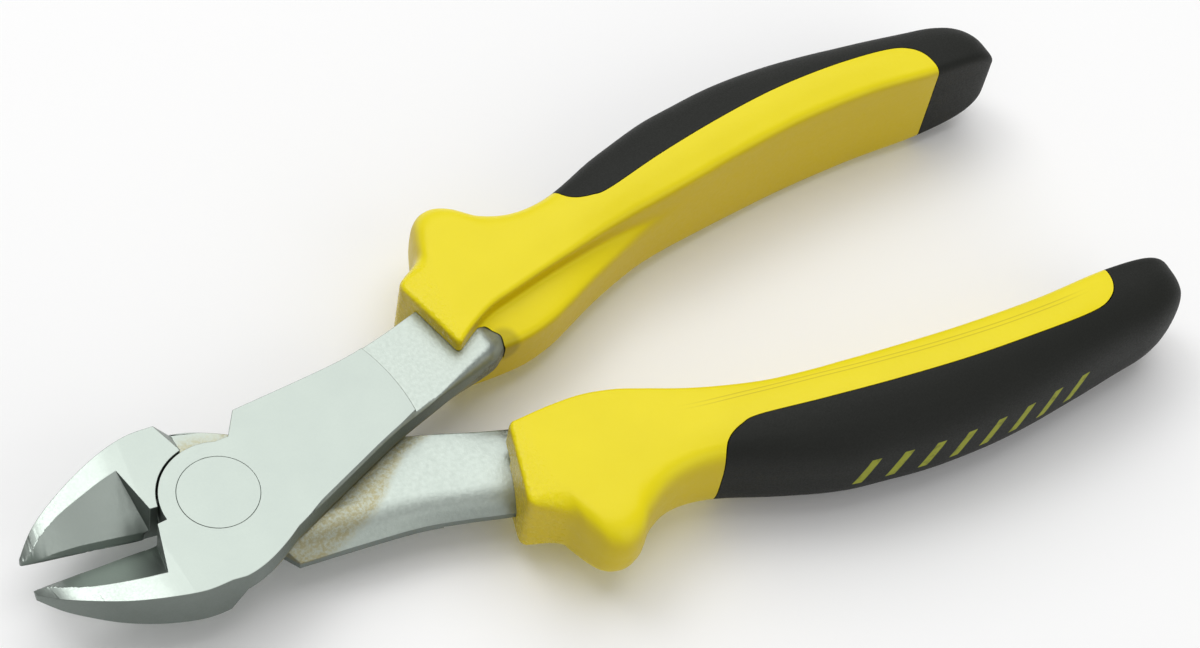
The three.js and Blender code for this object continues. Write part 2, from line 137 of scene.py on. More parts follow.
# Rows are [share of the width from the inner edge, height over the lap plane].
ROOT_CROWN = [[0, 0.15], [0.12, 0.15], [0.3, 0.15], [0.5, 0.15], [0.72, 0.2], [0.88, 1.2], [1, 3]]
GRIP_CROWN = [[0, 1.1], [0.12, 0.5], [0.3, 0], [0.5, -0.3], [0.72, 0.1], [0.88, 1.2], [1, 3]]
GRIP_INNER = [[42, 3.8], [47, 5], [51, 7.2], [55.5, 9], [60, 9.8], [69, 11.2], [82, 12.6], [98, 13.2],
              [110, 14], [124, 14.5], [140, 14], [155, 12.4], [171, 11.8]]
GRIP_INNER_HALF = [[42, 7], [76, 7.2], [98, 9.2], [124, 10.3], [150, 9.8], [171, 8]]
GRIP_FAR_INNER = [[42, 4.8], [48, 4.3], [54, 3.6], [60, 3.4], [65.5, 4.3], [70, 5.8], [76, 8], [83, 10.2],
                  [90, 12], [98, 13.1], [110, 14], [124, 14.5], [140, 14], [155, 12.4], [171, 11.8]]
RIDGE_Y = [[45, 11], [60, 15], [76, 17.6], [84, 18.6], [96, 20], [109, 21.2], [123, 21.8], [137, 21.4],
           [150, 20], [160, 18.6], [171, 18]]
RIDGE_HALF = [[45, 7.2], [62, 7.5], [73, 8.2], [84, 9.8], [96, 11], [109, 11.8], [123, 12.2], [137, 12],
              [150, 10.9], [160, 9.6], [171, 8.4]]
GRIP_OUTER = [[42, 16.6], [45, 18], [48.2, 20.4], [50.3, 22.8], [51.8, 26.4], [53.8, 29.6], [56.8, 30.8],
              [60, 29.6], [63.2, 26.3], [67.4, 23.7], [72, 22.8], [77.5, 23.4], [88, 26.8], [98, 29.5],
              [106, 30.3], [116, 30.8], [130, 29.9], [145, 27.3], [155, 25.3], [162, 24.2], [171, 23]]
# The front grip bulges out by this much more.
FRONT_WIDER = [[46, 0], [51, 1.6], [84, 1.6], [96, 0.9], [112, 0.7], [130, 0.2], [140, 0]]
GRIP_OUTER_HALF = [[42, 6.9], [62, 6.8], [76, 7], [100, 7.6], [130, 7.6], [155, 7], [171, 6]]
# The seam between the two grip materials, seen from the front.
SEAM = [[76.9, 26], [77.6, 22.2], [79, 20.2], [81.6, 19], [85, 18.6], [96, 20], [109, 21.2], [123, 21.8],
        [137, 21.4], [147.6, 20.4], [152, 18.8], [154.2, 16], [154.6, 12], [154.4, 6]]

# ---------------------------------------------------------------- marks and painted shade on the surfaces
STAIN_AT = (9, 12.2)  # the stain at the back half's root runs from here, in its own frame
STAIN_COS, STAIN_SIN = 0.933, 0.359  # of the turn of the stain's edge
MOULD_LINES = (5.3, 6.1)  # inwards from the ridge
# the painted shade round the end of the notch is centred at this y
NOTCH_SHADE_Y = 4.6
STROKES_FROM, STROKES_TO = 98, 146  # along the back handle
STROKE_PITCH = 6
STROKE_WIDTH = 1.7
STROKE_SLANT = 0.35
STROKE_LOW, STROKE_HIGH = -3.2, 3.4  # over the lap plane

# ---------------------------------------------------------------- camera, part frame in millimetres
CAMERA_AT = (-106.4, -209.1, 386.7)
CAMERA_TARGET = (72.31, 6.83, 4.5)
CAMERA_ROLL = 13.3  # degrees
CAMERA_LENS = 85.5
SENSOR_WIDTH = 36

# ---------------------------------------------------------------- light, in metres and watts
LIT_POINT = (0.06, 0, 0)
WORLD_LIGHT = 0.32
SOFTBOXES = {  # where it is, its diameter and its power
    "overhead": ((0.28, 0.63, 1.34), 2.2, 19),
    "left": ((-0.24, 0.54, 1.03), 0.5, 1.5),
    "front": ((-0.25, -0.75, 1.3), 1.6, 2),
    "low": ((0.42, -0.96, 0.52), 1.0, 2.4),
}
FLOOR_HALF = 3.0


# ---------------------------------------------------------------- curves and sections
def along(table, x):
    """Smooth value of an [x, value] table at x."""
    last = len(table) - 1
    if x <= table[0][0]:
        return table[0][1]
    if x >= table[last][0]:
        return table[last][1]
    i = next(k for k, row in enumerate(table) if row[0] > x) - 1

    def slope(k):
        a, b = table[max(0, k - 1)], table[min(last, k + 1)]
        return (b[1] - a[1]) / (b[0] - a[0])

    span = table[i + 1][0] - table[i][0]
    t = (x - table[i][0]) / span
    rise = table[i + 1][1] - table[i][1]
    m0, m1 = slope(i) * span, slope(i + 1) * span
    return table[i][1] + m0 * t + (3 * rise - 2 * m0 - m1) * t * t + (m0 + m1 - 2 * rise) * t**3


def smoothstep(x, low, high):
    """0 up to low, 1 from high on, and a smooth rise between them."""
    t = min(1.0, max(0.0, (x - low) / (high - low)))
    return t * t * (3 - 2 * t)


def lean_at(x, lean):
    """How far a tang and its grip have leaned sideways at x."""
    return lean * max(0.0, x - LEAN_START)


def spline(points, pieces):
    """Smooth curve through the points, with this many pieces between two of them."""
    points = [np.array(point, float) for point in points]
    padded = [points[0], *points, points[-1]]
    curve = []
    for a, b, c, d in zip(padded, padded[1:], padded[2:], padded[3:]):
        for t in np.arange(pieces) / pieces:
            square = (2 * a - 5 * b + 4 * c - d) * t**2
            cube = (3 * b - a - 3 * c + d) * t**3
            curve.append(0.5 * (2 * b + (c - a) * t + square + cube))
    return [*curve, points[-1]]


def arc(radius, start, end, pieces, centre=(0, 0)):
    """Points on a circle between two angles in degrees."""
    angles = np.radians(np.linspace(start, end, pieces + 1))
    return [[centre[0] + radius * math.cos(a), centre[1] + radius * math.sin(a)] for a in angles]


def bend(start, corner, end, t):
    """Points at the shares t of a curve that leaves start and reaches end in line with the corner."""
    return (1 - t) ** 2 * start + 2 * t * (1 - t) * corner + t**2 * end


def turned_over(outline, side):
    """An outline drawn for the front half, with its heights turned over for the back half."""
    outline = np.array(outline, float)
    outline[:, -1] *= side
    return outline if side > 0 else outline[::-1]


def rounded_section(corners, pieces, straight):
    """Closed outline through rounded corners [y, z, rounding], with points along the straights too."""
    count = len(corners)
    bends = []
    for i, (y, z, rounding) in enumerate(corners):
        corner = np.array([y, z])
        ends = []
        for other in (corners[i - 1], corners[(i + 1) % count]):
            edge = np.array(other[:2]) - corner
            length = np.hypot(*edge) or 1.0
            ends.append(corner + edge / length * min(rounding, 0.48 * length))
        t = np.linspace(0, 1, pieces + 1)[:, None]
        bends.append(bend(ends[0], corner, ends[1], t))
    outline = []
    t = np.linspace(0, 1, straight + 2)[1:-1, None]
    for i, rounded in enumerate(bends):
        following = bends[(i + 1) % count][0]
        outline += [rounded, rounded[-1] + t * (following - rounded[-1])]
    return np.concatenate(outline)


def grip_corners(x, inset, side):
    """Corners of the grip's section as [y, z, rounding], from the inner side round the outer side."""
    inner = along(GRIP_INNER, x) + inset
    far = min(along(GRIP_FAR_INNER, x) + inset, inner - 0.05)
    inner_half = along(GRIP_INNER_HALF, x) - inset
    ridge_y, ridge_z = along(RIDGE_Y, x), along(RIDGE_HALF, x) - inset
    wider = along(FRONT_WIDER, x) if side > 0 else 0
    outer_y, outer_z = along(GRIP_OUTER, x) + wider - inset, along(GRIP_OUTER_HALF, x) - inset
    soft = smoothstep(x, 66, 92)  # from the crisp collar to the rounded grip
    outer_rounding = 1.2 + 4.6 * smoothstep(x, 46.5, 52)
    corners = [
        [far, 2 - inset, 1.4],
        [far, -inner_half, 1.0 + 0.6 * soft],
        [ridge_y, -ridge_z, 2 + 2 * soft],
        [outer_y, -outer_z, outer_rounding],
        [outer_y, outer_z, outer_rounding],
        [ridge_y, ridge_z, 2 + 2 * soft],
        [inner, inner_half, 1.0 + 0.6 * soft],
        [inner, 4 - inset, 0.9],
    ]
    return corners if side > 0 else [[y, -z, r] for y, z, r in reversed(corners)]


def end_shift(x, side):
    """How far the front grip's outline is pulled back towards its shorter end."""
    return FRONT_SHORTER * smoothstep(x, 105, 140) if side > 0 else 0


def dome_start(inset, side):
    """Where the grip starts to close towards its end."""
    return GRIP_END - end_shift(GRIP_END, side) - inset - END_ROUNDING


def grip_stations(inset, side):
    """Stations along X, close together where the outline turns quickly."""
    dome = dome_start(inset, side)
    lip = [GRIP_START + LIP * (1 - math.cos(math.radians(a))) for a in range(0, 91, 15)]
    collar = np.arange(GRIP_START + LIP + 0.4, 64, 0.35)
    body = np.arange(64, dome, 0.9)
    end = dome + END_ROUNDING * np.sin(np.radians(np.linspace(0, 88, 26)))
    return [*lip, *collar, *body, *end]


def grip_section(x, inset, side, lean):
    """One section of the grip as rows of (x, y, z). The mouth slants, and the far end closes as a dome."""
    if x < GRIP_START + LIP:
        t = 1 - (x - GRIP_START) / LIP
        inset = inset + LIP * (1 - math.sqrt(max(0.0, 1 - t * t)))
    drawn = x + end_shift(x, side)
    outline = rounded_section(grip_corners(drawn, inset, side), 7, 4)
    y, z = outline[:, 0], outline[:, 1]
    blend = 1 - smoothstep(x, GRIP_START, GRIP_START + MOUTH_BLEND)
    xs = x - blend * MOUTH_SLANT * (y - MOUTH_Y)
    t = max(0.0, (x - dome_start(inset, side)) / END_ROUNDING)

    def share(power):
        return (1 - t**power) ** (1 / power)

    narrowed = (y - GRIP_AXIS_Y) * np.where(y < GRIP_AXIS_Y, share(5), share(2.2))
    return np.column_stack([xs, GRIP_AXIS_Y + narrowed + lean_at(x, lean), z * share(3)])


def tang_section(x, side, lean, grow):
    """One section of the tang as rows of (x, y, z), moved out by grow."""
    inner = along(TANG_INNER, x) + lean_at(x, lean) - grow
    outer = along(TANG_OUTER, x) + lean_at(x, lean) + grow
    flat = along(TANG_FACE, x)
    droop = TANG_DROOP * smoothstep(x, 40, 52) * (1 - smoothstep(x, 58, 66)) if side > 0 else 0
    blend = smoothstep(x, 36, 50)
    crown = []
    for share in np.linspace(0, 1, 41):
        z = (1 - blend) * max(GAP / 2, along(ROOT_CROWN, share)) + blend * along(GRIP_CROWN, share)
        low = min(z, flat - 1.2) - droop * max(0, 1 - share / 0.35) ** 2
        crown.append([inner + share * (outer - inner), low - grow])
    corner = WORN_EDGE + 1.8 * smoothstep(x, 38, 52)
    turn = np.radians(np.linspace(90, 180, 9))
    rounded = [[inner + corner * (1 + math.cos(a)), flat + grow - corner * (1 - math.sin(a))]
               for a in turn]
    outline = turned_over([*crown, [outer, flat + grow], *rounded], side)
    return np.column_stack([np.full(len(outline), x), outline])


# ---------------------------------------------------------------- meshes
def place(points, side):
    """Half-frame millimetres to the part's frame in metres. The back half is mirrored in Y first."""
    points = np.array(points, float)
    points[:, 1] *= side
    turn = side * math.radians(JAW_OPENING / 2)
    c, s = math.cos(turn), math.sin(turn)
    x, y = points[:, 0].copy(), points[:, 1].copy()
    points[:, 0], points[:, 1] = c * x - s * y, s * x + c * y
    points[:, 2] += FACE
    return points * MM


def facing_out(faces, side):
    """The faces, turned round where place() mirrors their points."""
    return faces if side > 0 else [tuple(reversed(face)) for face in faces]


def new_object(name, points, faces):
    """A mesh object in the scene, with its points in metres."""
    mesh = bpy.data.meshes.new(name)
    mesh.from_pydata([tuple(p) for p in points], [], faces)
    obj = bpy.data.objects.new(name, mesh)
    bpy.context.scene.collection.objects.link(obj)
    return obj


def loft(name, sections, side):
    """Closed body through the sections, each with the same number of points."""
    rows, ring = len(sections), len(sections[0])
    points = place(np.concatenate(sections), side)
    faces = []
    for s in range(rows - 1):
        for i in range(ring):
            a, b = s * ring + i, s * ring + (i + 1) % ring
            faces.append((a, b, b + ring, a + ring))
    faces.append(tuple(range(ring - 1, -1, -1)))
    faces.append(tuple(range((rows - 1) * ring, rows * ring)))
    return new_object(name, points, facing_out(faces, side))


def between_outlines(name, first, second, side):
    """Closed body between two outlines of the same number of (x, y, z) points."""
    n = len(first)
    faces = [(i, (i + 1) % n, (i + 1) % n + n, i + n) for i in range(n)]
    faces += [tuple(range(n - 1, -1, -1)), tuple(range(n, 2 * n))]
    return new_object(name, place(np.concatenate([first, second]), side), facing_out(faces, side))


def side_prism(name, outline, first, second, side):
    """Body over an outline of [x, z], from y = first to y = second."""
    x, z = outline[:, 0], outline[:, 1]
    ends = [np.column_stack([x, np.full(len(x), y), z]) for y in (first, second)]
    return between_outlines(name, *ends, side)


def prism(name, outline, low, high, side):
    """Upright body over an outline of [x, y], from z = low to z = high."""
    outline = np.array(outline, float)
    following = np.roll(outline, -1, axis=0)
    if np.sum(outline[:, 0] * following[:, 1] - outline[:, 1] * following[:, 0]) < 0:
        outline = outline[::-1]
    ends = [np.column_stack([outline, np.full(len(outline), z)]) for z in (low, high)]
    return between_outlines(name, *ends, side)


def cut(obj, cutter, operation="DIFFERENCE"):
    """Applies a boolean with the cutter to obj."""
    modifier = obj.modifiers.new("cut", "BOOLEAN")
    modifier.object = cutter
    modifier.operation = operation
    modifier.solver = "MANIFOLD"
    apply_modifiers(obj)


def apply_modifiers(obj):
    """Makes what the modifiers give the object's own mesh."""
    bpy.context.view_layer.update()
    evaluated = obj.evaluated_get(bpy.context.evaluated_depsgraph_get())
    mesh = bpy.data.meshes.new_from_object(evaluated)
    old = obj.data
    obj.modifiers.clear()
    obj.data = mesh
    bpy.data.meshes.remove(old)


def discard(*objs):
    """Removes helper objects and their meshes."""
    for obj in objs:
        mesh = obj.data
        bpy.data.objects.remove(obj)
        bpy.data.meshes.remove(mesh)


def shade_smooth(obj, angle):
    """Smooth shading that keeps edges sharper than the angle, in degrees."""
    mesh = bmesh.new()
    mesh.from_mesh(obj.data)
    for face in mesh.faces:
        face.smooth = True
    for edge in mesh.edges:
        edge.smooth = len(edge.link_faces) == 2 and edge.calc_face_angle(0) < math.radians(angle)
    mesh.to_mesh(obj.data)
    mesh.free()


# ---------------------------------------------------------------- grips
def seam_outline(side, lean, grow):
    """Plan of everything on the outer side of the seam, moved out by grow."""
    seam = [[x - end_shift(x, side) - grow, y + lean_at(x, lean) - grow] for x, y in SEAM]
    return [[seam[0][0], 60], *spline(seam, 8), [seam[-1][0], -30], [220, -30], [220, 60]]


def notch_outline():
    """The notch seen along Y, as [x, z]: open at the mouth, rounded at its end."""
    half = (NOTCH_HIGH - NOTCH_LOW) / 2
    middle = NOTCH_LOW + half
    return [[30, NOTCH_LOW], *arc(half, -90, 90, 24, (NOTCH_END - half, middle)), [30, NOTCH_HIGH]]


def notch(side):
    """What the notch takes out of the sleeve's inner side."""
    return side_prism("notch", turned_over(notch_outline(), side), 8.5, -12, side)


def grip_body(name, inset, side, lean):
    """The whole grip as one body, moved in by inset."""
    return loft(name, [grip_section(x, inset, side, lean) for x in grip_stations(inset, side)], side)


def grip(body, side):
    """The two mouldings of one grip, riding on their body."""
    lean = side * LEAN
    sleeve = grip_body(f"{body}_sleeve", 0, side, lean)
    overmould = grip_body(f"{body}_overmould", 0, side, lean)
    core = grip_body("core", SLEEVE_WALL, side, lean)
    bore_stations = np.arange(30, TANG_END + 1, 2)
    bore = loft("bore", [tang_section(x, side, lean, BORE_GAP) for x in bore_stations], side)
    outer_side = prism("outer_side", seam_outline(side, lean, 0), -20, 20, side)
    outer_side_grown = prism("outer_grown", seam_outline(side, lean, SEAM_GAP), -20, 20, side)
    opening = notch(side)
    cut(overmould, outer_side, "INTERSECT")
    cut(overmould, core)
    cut(sleeve, outer_side_grown)
    cut(sleeve, bore)
    cut(sleeve, opening)
    discard(core, bore, outer_side, outer_side_grown, opening)
    for obj, kind, slot, look in ((sleeve, "sleeve", "yellow_plastic", yellow_plastic()),
                                  (overmould, "overmould", "black_rubber", black_rubber())):
        shade_smooth(obj, 38)
        obj.data.materials.clear()
        obj.data.materials.append(look)
        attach(obj, body)
        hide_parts(f"{body}_grip_{kind}")


# ---------------------------------------------------------------- steel
def lap_plan():
    """Plan of the lap over the other half: round end, step, root of the tang and heel."""
    slot = 180 + math.degrees(math.asin(SLOT_DEPTH / DISC_RADIUS))
    outer = [[x, along(TANG_OUTER, x)] for x in LAP_STATIONS]
    inner = [[x, along(TANG_INNER, x)] for x in [*reversed(LAP_STATIONS), 8]]
    t = np.linspace(0, 1, 16)[1:, None]
    corner, foot = np.array(HEEL_CURVE)
    heel = bend(np.array(inner[-1]), corner, foot, t)
    inside_jaw = [-12, -8]
    return [[EDGE_END_X + 1.7, -SLOT_DEPTH], *arc(DISC_RADIUS, slot, 65, 80), STEP_FOOT, *outer,
            *inner, *heel.tolist(), HEEL, inside_jaw]


def jaw_plan():
    """Plan of the jaw, which ends on the other half's round lap."""
    radius = DISC_RADIUS + GAP
    slot = 180 + math.degrees(math.asin(SLOT_DEPTH / radius))
    return [[TIP_X, 0], [EDGE_END_X, 0], [EDGE_END_X + 0.5, -SLOT_DEPTH], *arc(radius, slot, 252, 60),
            *spline(JAW_OUTER, 12)[:-1], JAW_OUTER[-1]]


def recess_section(x):
    """A steep narrow bevel at the edge, then a wide twisted bevel up to the recess line."""
    edge = along(EDGE_HEIGHT, x)
    narrow = 0.4 + 0.6 * smoothstep(x, TIP_X, -21)
    fold = [-0.65 * narrow, edge + 1.2 * narrow]
    line = min(along(RECESS_LINE, x), fold[0] - 0.1)
    surface = max(along(NOSE_FRONT, x), fold[1] + 0.1)
    top = FACE + 1
    reach = line + (line - fold[0]) * (top - surface) / (surface - fold[1])
    return np.array([[x, 2, edge], [x, 2, top], [x, reach, top], [x, *fold], [x, 0, edge]], float)


def recess(side):
    """What is hollowed out of the jaw's face, as far as the round lap."""
    stations = [TIP_X - 3, *np.linspace(TIP_X, -9, 46)]
    wall = [[-60, 4], [-60, -60], [0, -60], [-13.5, -8.9], [-10.9, -SLOT_DEPTH], [-9, 4]]
    hollow = loft("recess", [recess_section(x) for x in stations], side)
    limit = prism("limit", wall, -FACE, FACE + 2, side)
    cut(hollow, limit, "INTERSECT")
    discard(limit)
    return hollow


def back_bevel(side):
    """The bevel behind the cutting edge."""
    sections = []
    for x in [TIP_X - 3, *np.linspace(TIP_X, EDGE_END_X + 0.6, 20)]:
        edge = along(EDGE_HEIGHT, x)
        corners = [[x, -2.6, edge - 4], [x, 3, edge - 4], [x, 3, edge + 0.3], [x, 0.2, edge + 0.3]]
        sections.append(np.array(corners))
    return loft("back_bevel", sections, side)


def nose_relief(profile, far, side):
    """Everything beyond the profile of a face that falls away towards the tip, out to the far height."""
    first, last = profile[0][0], profile[-1][0]
    curve = [[x, along(profile, x)] for x in np.linspace(first, last, 50)]
    outline = np.array([[last, far], [first - 5, far], [first - 5, profile[0][1]], *curve])
    return side_prism("nose_relief", outline if far > 0 else outline[::-1], 30, -30, side)


def hull(name, points, side):
    """Convex body round the points."""
    obj = new_object(name, place(points, side), [])
    mesh = bmesh.new()
    mesh.from_mesh(obj.data)
    bmesh.ops.convex_hull(mesh, input=mesh.verts)
    bmesh.ops.recalc_face_normals(mesh, faces=mesh.faces)
    mesh.to_mesh(obj.data)
    mesh.free()
    return obj


def heel_slope(side):
    """The outer corner of the heel, sloping from the far face down to the lap."""
    x, y = HEEL
    low = [[x - 3, y + 3, side * -FACE], [x, y, side * -FACE], [x + 2.5, y + 5.5, side * -FACE]]
    high = [[x - 3, y + 3], [x, y], [x + 3.2, y - 0.25], [x + 3, y + 5]]
    wedge = hull("heel_slope", [*low, *[[px, py, side * 0.6] for px, py in high]], side)
    room = prism("room", arc(DISC_RADIUS + GAP, 0, 359, 180), -FACE - 1, FACE + 1, side)
    cut(wedge, room)
    discard(room)
    return wedge


def around_ground(side):
    """What is lower beyond the arc of the grinding."""
    low, high = sorted((side * FORGED_FACE, side * (FACE + 1)))
    slab = prism("slab", [[-70, -70], [70, -70], [70, 70], [-70, 70]], low, high, side)
    disc = prism("disc", arc(GROUND_RADIUS, 0, 359, 240, GROUND_CENTRE), low - 1, high + 1, side)
    cut(slab, disc)
    discard(disc)
    return slab


def outer_slope(side):
    """The lap slopes off to its outer edge like the tang does."""
    sections = []
    for x in [7, 8, *LAP_STATIONS[:4]]:
        inner = along(TANG_INNER, x)
        width = along(TANG_OUTER, x) - inner
        start = ROOT_CROWN[3][0]
        slope = [[x, inner + share * width, max(GAP / 2, along(ROOT_CROWN, share))]
                 for share in np.linspace(1, start, 21)]
        beyond = inner + 1.1 * width
        section = [[x, inner + start * width, -1], [x, beyond, -1], [x, beyond, 4.4], *slope]
        sections.append(turned_over(section, side))
    return loft("outer_slope", sections, side)


def beyond_lap(side):
    """The inner layer of the lap where the tang takes over."""
    low, high = sorted((side * -FACE, side * LAYER_TOP))
    return prism("beyond_lap", [[ROOT_START, -40], [60, -40], [60, 40], [ROOT_START, 40]], low, high, side)


def tang(side, lean):
    """The tang, from the lap to its hidden end in the grip."""
    stations = [*TANG_STATIONS, *np.arange(64, TANG_END + 1, 4)]
    return loft("tang", [tang_section(x, side, lean, 0) for x in stations], side)


def worn_edge(side, lean):
    """The slanted cut that takes the sharp inner edge off the lap, fading out where the tang begins."""
    sections = []
    for x in np.linspace(STEP_CORNER[0], 42, 40):
        edge = along(TANG_INNER, x) + lean_at(x, lean)
        top = FACE + (FORGED_FACE - FACE) * smoothstep(x, 31, 35)
        worn = WORN_EDGE * smoothstep(x, 9, 14) * (1 - smoothstep(x, 37, 42))
        section = [[x, edge - 0.5, top - worn - 0.5], [x, edge + worn + 0.5, top + 0.5],
                   [x, edge - 0.5, top + 0.5]]
        sections.append(turned_over(section, side))
    return loft("worn_edge", sections, side)


def forged_half(body, side):
    """One forged half in satin steel, riding on its body."""
    low, high = sorted((side * GAP / 2, side * FACE))
    half = prism(f"{body}_steel", lap_plan(), low, high, side)
    hole = prism("hole", arc(HOLE_RADIUS, 0, 359, 144), -FACE - 1, FACE + 1, side)
    steps = [
        (around_ground(side), "DIFFERENCE"),
        (outer_slope(side), "DIFFERENCE"),
        (beyond_lap(side), "DIFFERENCE"),
        (tang(side, side * LEAN), "UNION"),
        (prism("jaw", jaw_plan(), -FACE, FACE, side), "UNION"),
        (heel_slope(side), "UNION"),
        (recess(side), "DIFFERENCE"),
        (back_bevel(side), "DIFFERENCE"),
        (nose_relief(NOSE_FRONT, FACE + 3, side), "DIFFERENCE"),
        (nose_relief(NOSE_BACK, -FACE - 3, side), "DIFFERENCE"),
        (worn_edge(side, side * LEAN), "DIFFERENCE"),
        (hole, "DIFFERENCE"),
    ]
    for tool, operation in steps:
        cut(half, tool, operation)
        discard(tool)
    soften(half)
    half.data.materials.clear()
    half.data.materials.append(satin_steel())
    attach(half, body)
    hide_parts(f"{body}_half")


def soften(obj):
    """Fine bevels along the edges, with the flat faces kept flat in the shading."""
    weld = obj.modifiers.new("weld", "WELD")
    weld.merge_threshold = WELD_WITHIN * MM
    flat = obj.modifiers.new("flat", "DECIMATE")
    flat.decimate_type = "DISSOLVE"
    flat.angle_limit = math.radians(FLAT_WITHIN)
    bevel = obj.modifiers.new("bevel", "BEVEL")
    bevel.width = EDGE_BEVEL * MM
    bevel.segments = 2
    bevel.limit_method = "ANGLE"
    bevel.angle_limit = math.radians(BEVEL_FROM)
    bevel.use_clamp_overlap = False
    normals = obj.modifiers.new("normals", "WEIGHTED_NORMAL")
    normals.mode = "FACE_AREA"
    normals.weight = FACE_WEIGHT
    for polygon in obj.data.polygons:
        polygon.use_smooth = True


def rivet():
    """The pivot rivet, ground flush with both faces."""
    radius, rim, top = RIVET_RADIUS, RIVET_RIM, 2 * FACE
    levels = [(0.0, radius - rim), (rim, radius), (top - rim, radius), (top, radius - rim)]
    sides = 128
    turns = np.linspace(0, 2 * math.pi, sides, endpoint=False)
    points = [(r * math.cos(a), r * math.sin(a), z) for z, r in levels for a in turns]
    faces = []
    for k in range(len(levels) - 1):
        for i in range(sides):
            a, b = k * sides + i, k * sides + (i + 1) % sides
            faces.append((a, b, b + sides, a + sides))
    faces += [tuple(range(sides - 1, -1, -1)), tuple(range(3 * sides, 4 * sides))]
    obj = new_object("rivet", np.array(points) * MM, faces)
    shade_smooth(obj, 30)
    obj.data.materials.append(satin_steel())
    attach(obj, "front")
    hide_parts("pivot_rivet")


# ---------------------------------------------------------------- materials
def new_material(name):
    """An empty node material and its shader."""
    material = bpy.data.materials.new(name)
    material.use_nodes = True
    tree = material.node_tree
    return material, tree, tree.nodes["Principled BSDF"]


def add(tree, kind, inputs=None, **settings):
    """A node with its settings and its inputs, each a value or another node's socket."""
    node = tree.nodes.new(kind)
    for key, value in settings.items():
        setattr(node, key, value)
    for key, value in (inputs or {}).items():
        if isinstance(value, bpy.types.NodeSocket):
            tree.links.new(value, node.inputs[key])
        else:
            node.inputs[key].default_value = value
    return node


def millimetres(tree, stretch=(1, 1, 1)):
    """Object coordinates in millimetres, stretched along each axis."""
    coordinates = add(tree, "ShaderNodeTexCoord")
    scale = tuple(share / MM for share in stretch)
    inputs = {0: coordinates.outputs["Object"], 1: scale}
    return add(tree, "ShaderNodeVectorMath", inputs, operation="MULTIPLY").outputs[0]


def axes(tree, vector):
    """The three components of a vector."""
    split = add(tree, "ShaderNodeSeparateXYZ", {0: vector})
    return [split.outputs[axis] for axis in "XYZ"]


def noise(tree, vector, scale, detail=3.0, roughness=0.55):
    """Soft noise from 0 to 1, with this many cells to a millimetre of the vector."""
    made = add(tree, "ShaderNodeTexNoise", {"Vector": vector, "Scale": scale, "Detail": detail,
                                            "Roughness": roughness})
    return made.outputs["Fac"]


def between(tree, value, low, high, start=0.0, end=1.0):
    """value mapped smoothly from low..high to start..end."""
    inputs = {"Value": value, "From Min": low, "From Max": high, "To Min": start, "To Max": end}
    return add(tree, "ShaderNodeMapRange", inputs, interpolation_type="SMOOTHSTEP").outputs["Result"]


def maths(tree, operation, a, b=0.0):
    """One sum, each side a value or another node's socket."""
    return add(tree, "ShaderNodeMath", {0: a, 1: b}, operation=operation).outputs[0]


def plus(tree, a, b):
    return maths(tree, "ADD", a, b)


def minus(tree, a, b):
    return maths(tree, "SUBTRACT", a, b)


def times(tree, a, b):
    return maths(tree, "MULTIPLY", a, b)


def over(tree, a, b):
    return maths(tree, "DIVIDE", a, b)


def size(tree, a):
    """A value without its sign."""
    return maths(tree, "ABSOLUTE", a)


def mix(tree, share, a, b):
    """Colour a where share is 0, and colour b where it is 1."""
    made = add(tree, "ShaderNodeMix", {"Factor": share, "A": a, "B": b}, data_type="RGBA")
    return made.outputs["Result"]


def bump(tree, height, strength, distance, normal=None):
    """A normal that shades the height as relief, on top of another one if given."""
    inputs = {"Height": height, "Strength": strength, "Distance": distance}
    if normal:
        inputs["Normal"] = normal
    return add(tree, "ShaderNodeBump", inputs).outputs["Normal"]


def colour(r, g, b):
    """A linear colour from sRGB values of 0 to 255."""
    linear = [((c / 255 + 0.055) / 1.055) ** 2.4 if c > 10 else c / 255 / 12.92 for c in (r, g, b)]
    return (*linear, 1.0)


@cache
def satin_steel():
    """Nickel-plated steel: ground faces, walls a little rougher and painted darker as shade, and a rough
    forged skin on the handle's side.
    """
    material, tree, shader = new_material("satin_steel")
    place_mm = millimetres(tree)
    x, y, z = axes(tree, place_mm)
    normal = axes(tree, add(tree, "ShaderNodeTexCoord").outputs["Normal"])
    # facing: how far a surface faces up; it picks between the face colour and the painted wall shade
    facing = between(tree, size(tree, normal[2]), 0.2, 0.97)
    depth = size(tree, minus(tree, z, FACE))
    forged = times(tree, between(tree, depth, 4.4, 4.3), between(tree, x, 0, 6))
    clouds = noise(tree, place_mm, 0.16, 4)
    mottle = noise(tree, place_mm, 1.5, 6, 0.7)
    grain = noise(tree, place_mm, 3.0, 3)
    face = mix(tree, clouds, colour(160, 169, 163), colour(167, 176, 169))
    # wall: painted shade, a darker copy of the steel for surfaces that face sideways
    wall = mix(tree, clouds, colour(112, 120, 114), colour(130, 138, 133))
    # the ground steel, with painted shade on its upright walls
    smooth = mix(tree, facing, wall, face)
    skin_face = mix(tree, between(tree, mottle, 0.3, 0.7), colour(165, 174, 167), colour(177, 186, 179))
    # the forged skin on the faces, with the same painted shade on the walls
    forged_skin_and_shade = mix(tree, facing, wall, skin_face)
    base = mix(tree, forged, smooth, forged_skin_and_shade)
    base = mix(tree, grime(tree, (x, y, z), mottle), base, colour(146, 138, 98))
    base = mix(tree, smudge(tree, (x, y, z), mottle), base, colour(92, 94, 84))
    tree.links.new(base, shader.inputs["Base Color"])
    shader.inputs["Metallic"].default_value = 1.0
    uneven = between(tree, grain, 0.3, 0.7, -0.04, 0.04)
    rough = plus(tree, between(tree, facing, 0, 1, 0.44, 0.35), uneven)
    tree.links.new(plus(tree, rough, times(tree, forged, 0.05)), shader.inputs["Roughness"])
    scratches = noise(tree, millimetres(tree, (0.5, 5, 5)), 2.0, 2)
    fine = bump(tree, plus(tree, times(tree, scratches, 0.4), grain), 0.2, 0.02 * MM)
    skin = times(tree, noise(tree, place_mm, 1.8, 4, 0.6), forged)
    tree.links.new(bump(tree, skin, 0.6, 0.07 * MM, fine), shader.inputs["Normal"])
    return material


